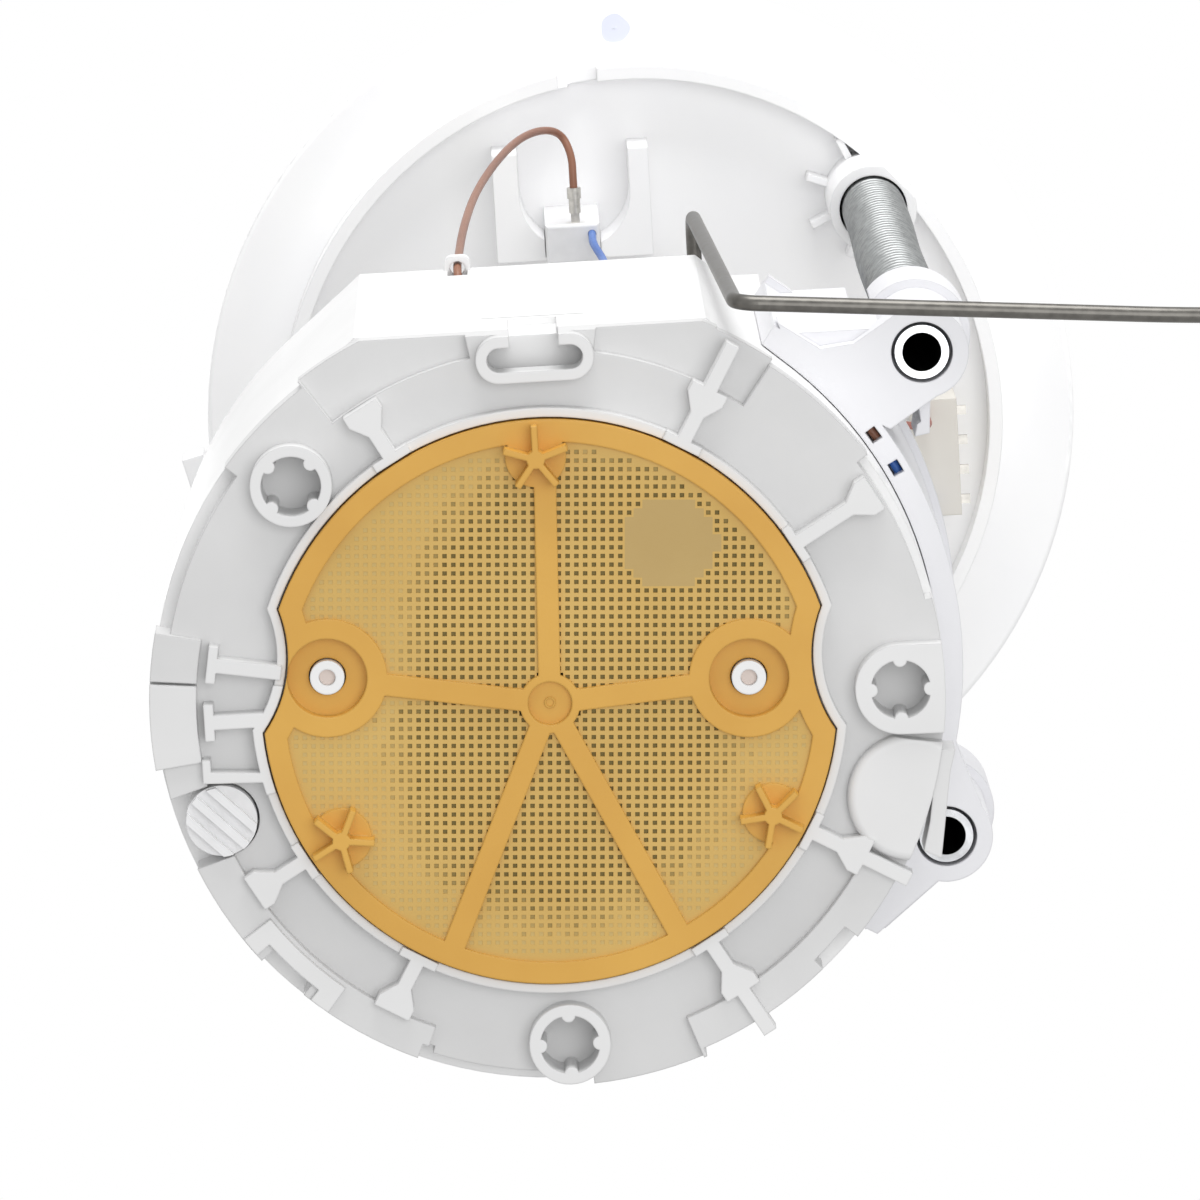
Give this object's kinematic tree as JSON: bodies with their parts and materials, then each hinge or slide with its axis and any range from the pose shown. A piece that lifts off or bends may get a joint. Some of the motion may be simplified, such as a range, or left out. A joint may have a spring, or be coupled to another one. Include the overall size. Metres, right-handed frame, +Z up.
{
  "type": "fuel pump module",
  "caption": "In-tank fuel pump module: a round tank flange, sprung guide rods and a sliding reservoir cup with pump, filter, bottom strainer and float-arm level sender.",
  "frame": {"origin": "centre of the flange's spigot in the plane where the flange seats on the tank", "axes": "+Z up out of the tank along the guide rods, -Y towards the level sender, +X towards the rods and the float"},
  "size_m": [0.206, 0.146, 0.2316],
  "materials": {
    "flange_white": "satin",
    "black_nylon": "satin",
    "housing_white": "satin",
    "strainer_orange": "matte",
    "filter_felt": "matte",
    "clear_nylon": "gloss",
    "cream_nylon": "satin",
    "tinned_brass": "satin",
    "chrome_rod": "polished",
    "spring_steel": "satin",
    "hose_nylon": "satin",
    "black_rubber": "matte",
    "lead_brown": "satin",
    "lead_blue": "satin",
    "lead_red_brown": "satin",
    "pump_steel": "satin",
    "pump_alloy": "satin",
    "impeller_resin": "satin",
    "magnet_grey": "matte",
    "ceramic_white": "gloss",
    "track_silver": "satin",
    "arm_steel": "satin",
    "float_black": "matte"
  },
  "bodies": {
    "flange": {"top_flange": "flange_white", "connector_shell": "flange_white", "terminal_block": "cream_nylon", "connector_pins": "tinned_brass", "outlet_pipe": "flange_white", "guide_rod_1": "chrome_rod", "guide_rod_2": "chrome_rod", "lead_block": "clear_nylon", "lead_terminal": "tinned_brass", "guide_spring_1": "spring_steel", "guide_spring_2": "spring_steel", "outlet_hose": "hose_nylon", "lead_brown": "lead_brown", "lead_blue": "lead_blue", "lead_supply": "lead_red_brown", "lead_return": "lead_blue"},
    "reservoir": {"base_ring": "housing_white", "strainer_frame": "strainer_orange", "strainer_mesh": "strainer_orange", "filter_medium": "filter_felt", "bay_clip": "clear_nylon", "reservoir_cup": "housing_white", "reservoir_cover": "housing_white", "nozzle_left": "housing_white", "nozzle_right": "housing_white", "inlet_valve": "black_rubber", "jet_pump": "housing_white", "guide_carrier": "housing_white", "channel_lead_brown": "lead_brown", "channel_lead_blue": "lead_blue", "pump_seat": "black_rubber", "pump_shell": "pump_steel", "pump_inlet_cap": "pump_alloy", "pump_chamber_plate": "pump_alloy", "pump_magnets": "magnet_grey", "pump_outlet_cap": "black_nylon", "pump_tabs": "tinned_brass", "pump_plug": "black_nylon", "filter_case": "black_nylon", "filter_element": "filter_felt", "filter_lid": "black_nylon", "pressure_regulator": "pump_steel", "sender_bracket": "housing_white", "sender_card": "ceramic_white", "card_tracks": "track_silver"},
    "arm": {"float_arm": "arm_steel", "arm_float": "float_black", "float_clip": "arm_steel", "sender_hub": "black_nylon", "sender_wiper": "tinned_brass"},
    "rotor": {"pump_armature": "pump_steel", "pump_impeller": "impeller_resin"}
  },
  "joints": [
    {"name": "reservoir_slide", "type": "slide", "parent": "flange", "child": "reservoir", "axis": [0, 0, 1], "range_m": [0, 0.016], "stiffness_N_per_m": 600, "springref_m": -0.04, "deforming": ["guide_spring_1", "guide_spring_2", "outlet_hose", "lead_brown", "lead_blue", "lead_supply", "lead_return"]},
    {"name": "arm_swing", "type": "hinge", "parent": "reservoir", "child": "arm", "pos_m": [0.0086, -0.036, -0.11], "axis": [0, -1, 0], "range_deg": [0, 75]},
    {"name": "rotor_spin", "type": "hinge", "parent": "reservoir", "child": "rotor", "pos_m": [-0.0175, 0.012, -0.178], "axis": [0, 0, 1], "continuous": true}
  ]
}
